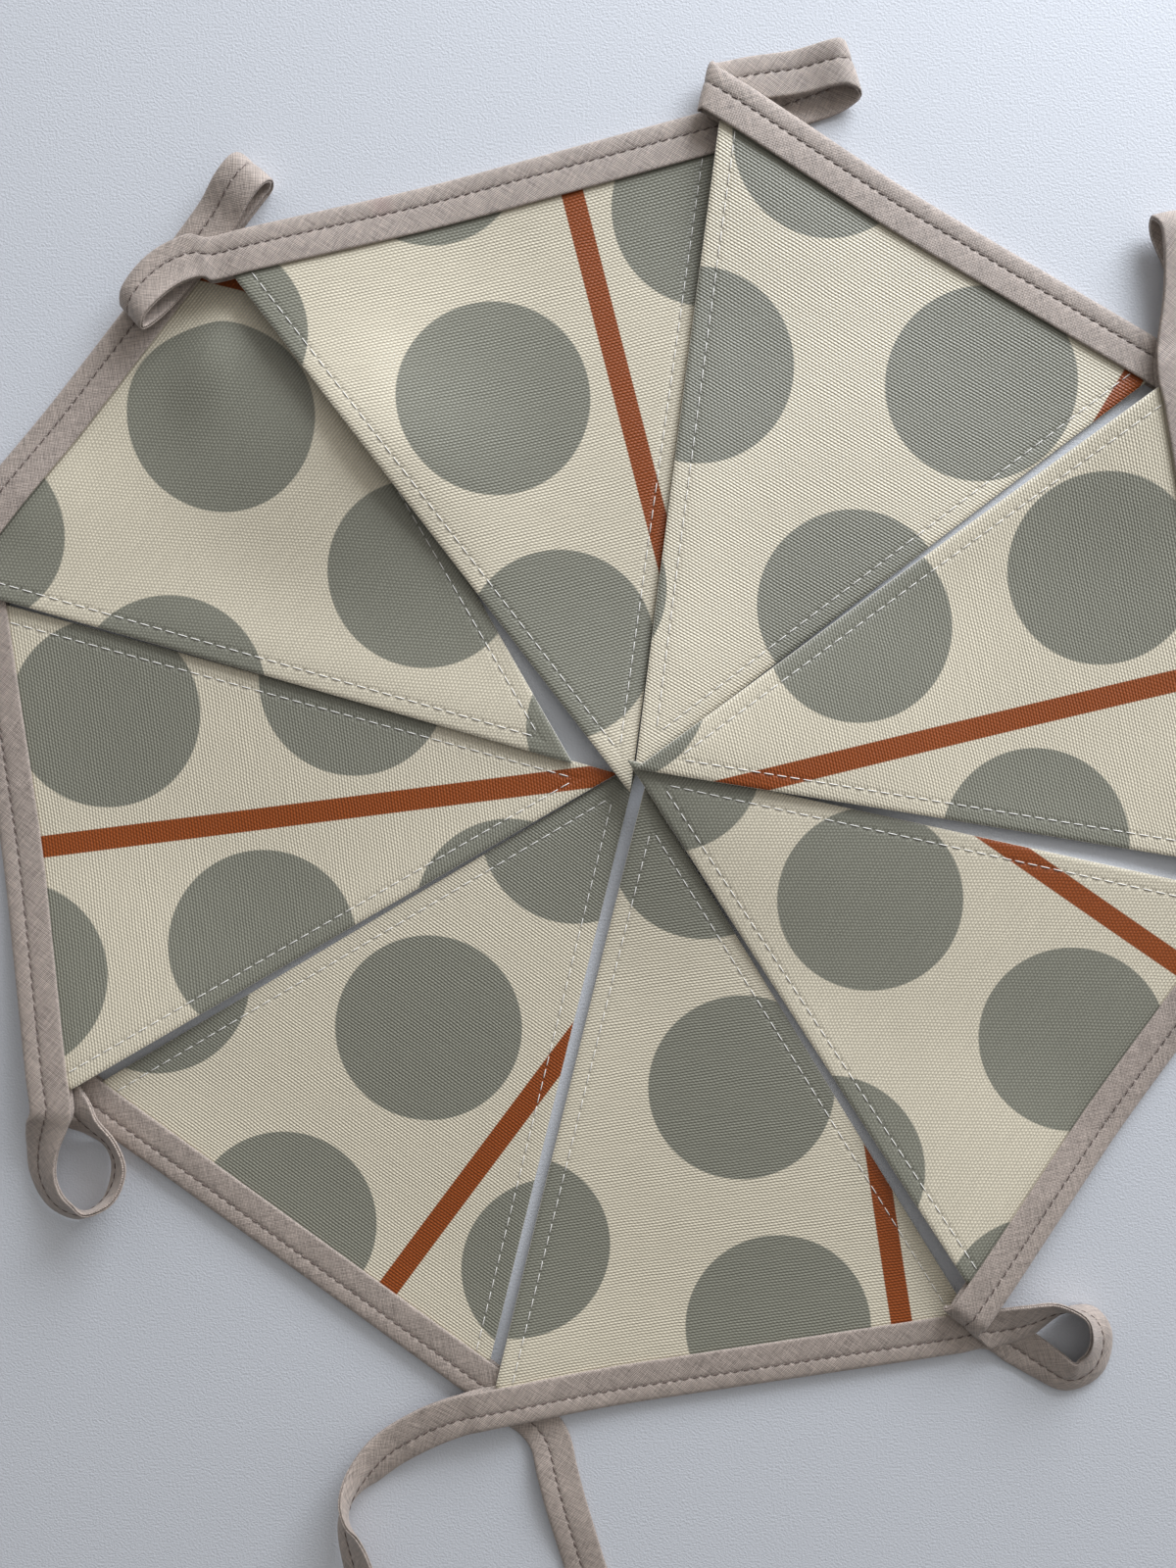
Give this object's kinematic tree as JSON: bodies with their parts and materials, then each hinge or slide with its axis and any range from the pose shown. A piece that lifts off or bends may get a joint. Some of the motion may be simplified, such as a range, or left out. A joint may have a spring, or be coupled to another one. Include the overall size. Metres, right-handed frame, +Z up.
{
  "type": "fabric bunting",
  "caption": "Triangular printed cotton pennants sewn into one folded binding tape with loose ties, laid flat as a pinwheel with tips together.",
  "frame": {"origin": "on the table under the middle of the whole laid piece, ties included", "axes": "+Z up from the table, +Y towards the top of the picture, away from the ties, +X to its right"},
  "size_m": [0.4508, 0.5822, 0.0133],
  "materials": {
    "printed_cotton": "coated ribbed cotton, cream ground with grey-green and rust print, low sheen",
    "bias_binding": "plain woven taupe cotton cut on the bias, matt"
  },
  "bodies": {
    "root": {"flag_1": "printed_cotton", "flag_2": "printed_cotton", "flag_3": "printed_cotton", "flag_4": "printed_cotton", "flag_5": "printed_cotton", "flag_6": "printed_cotton", "flag_7": "printed_cotton", "flag_8": "printed_cotton", "binding_tape": "bias_binding"}
  },
  "joints": []
}
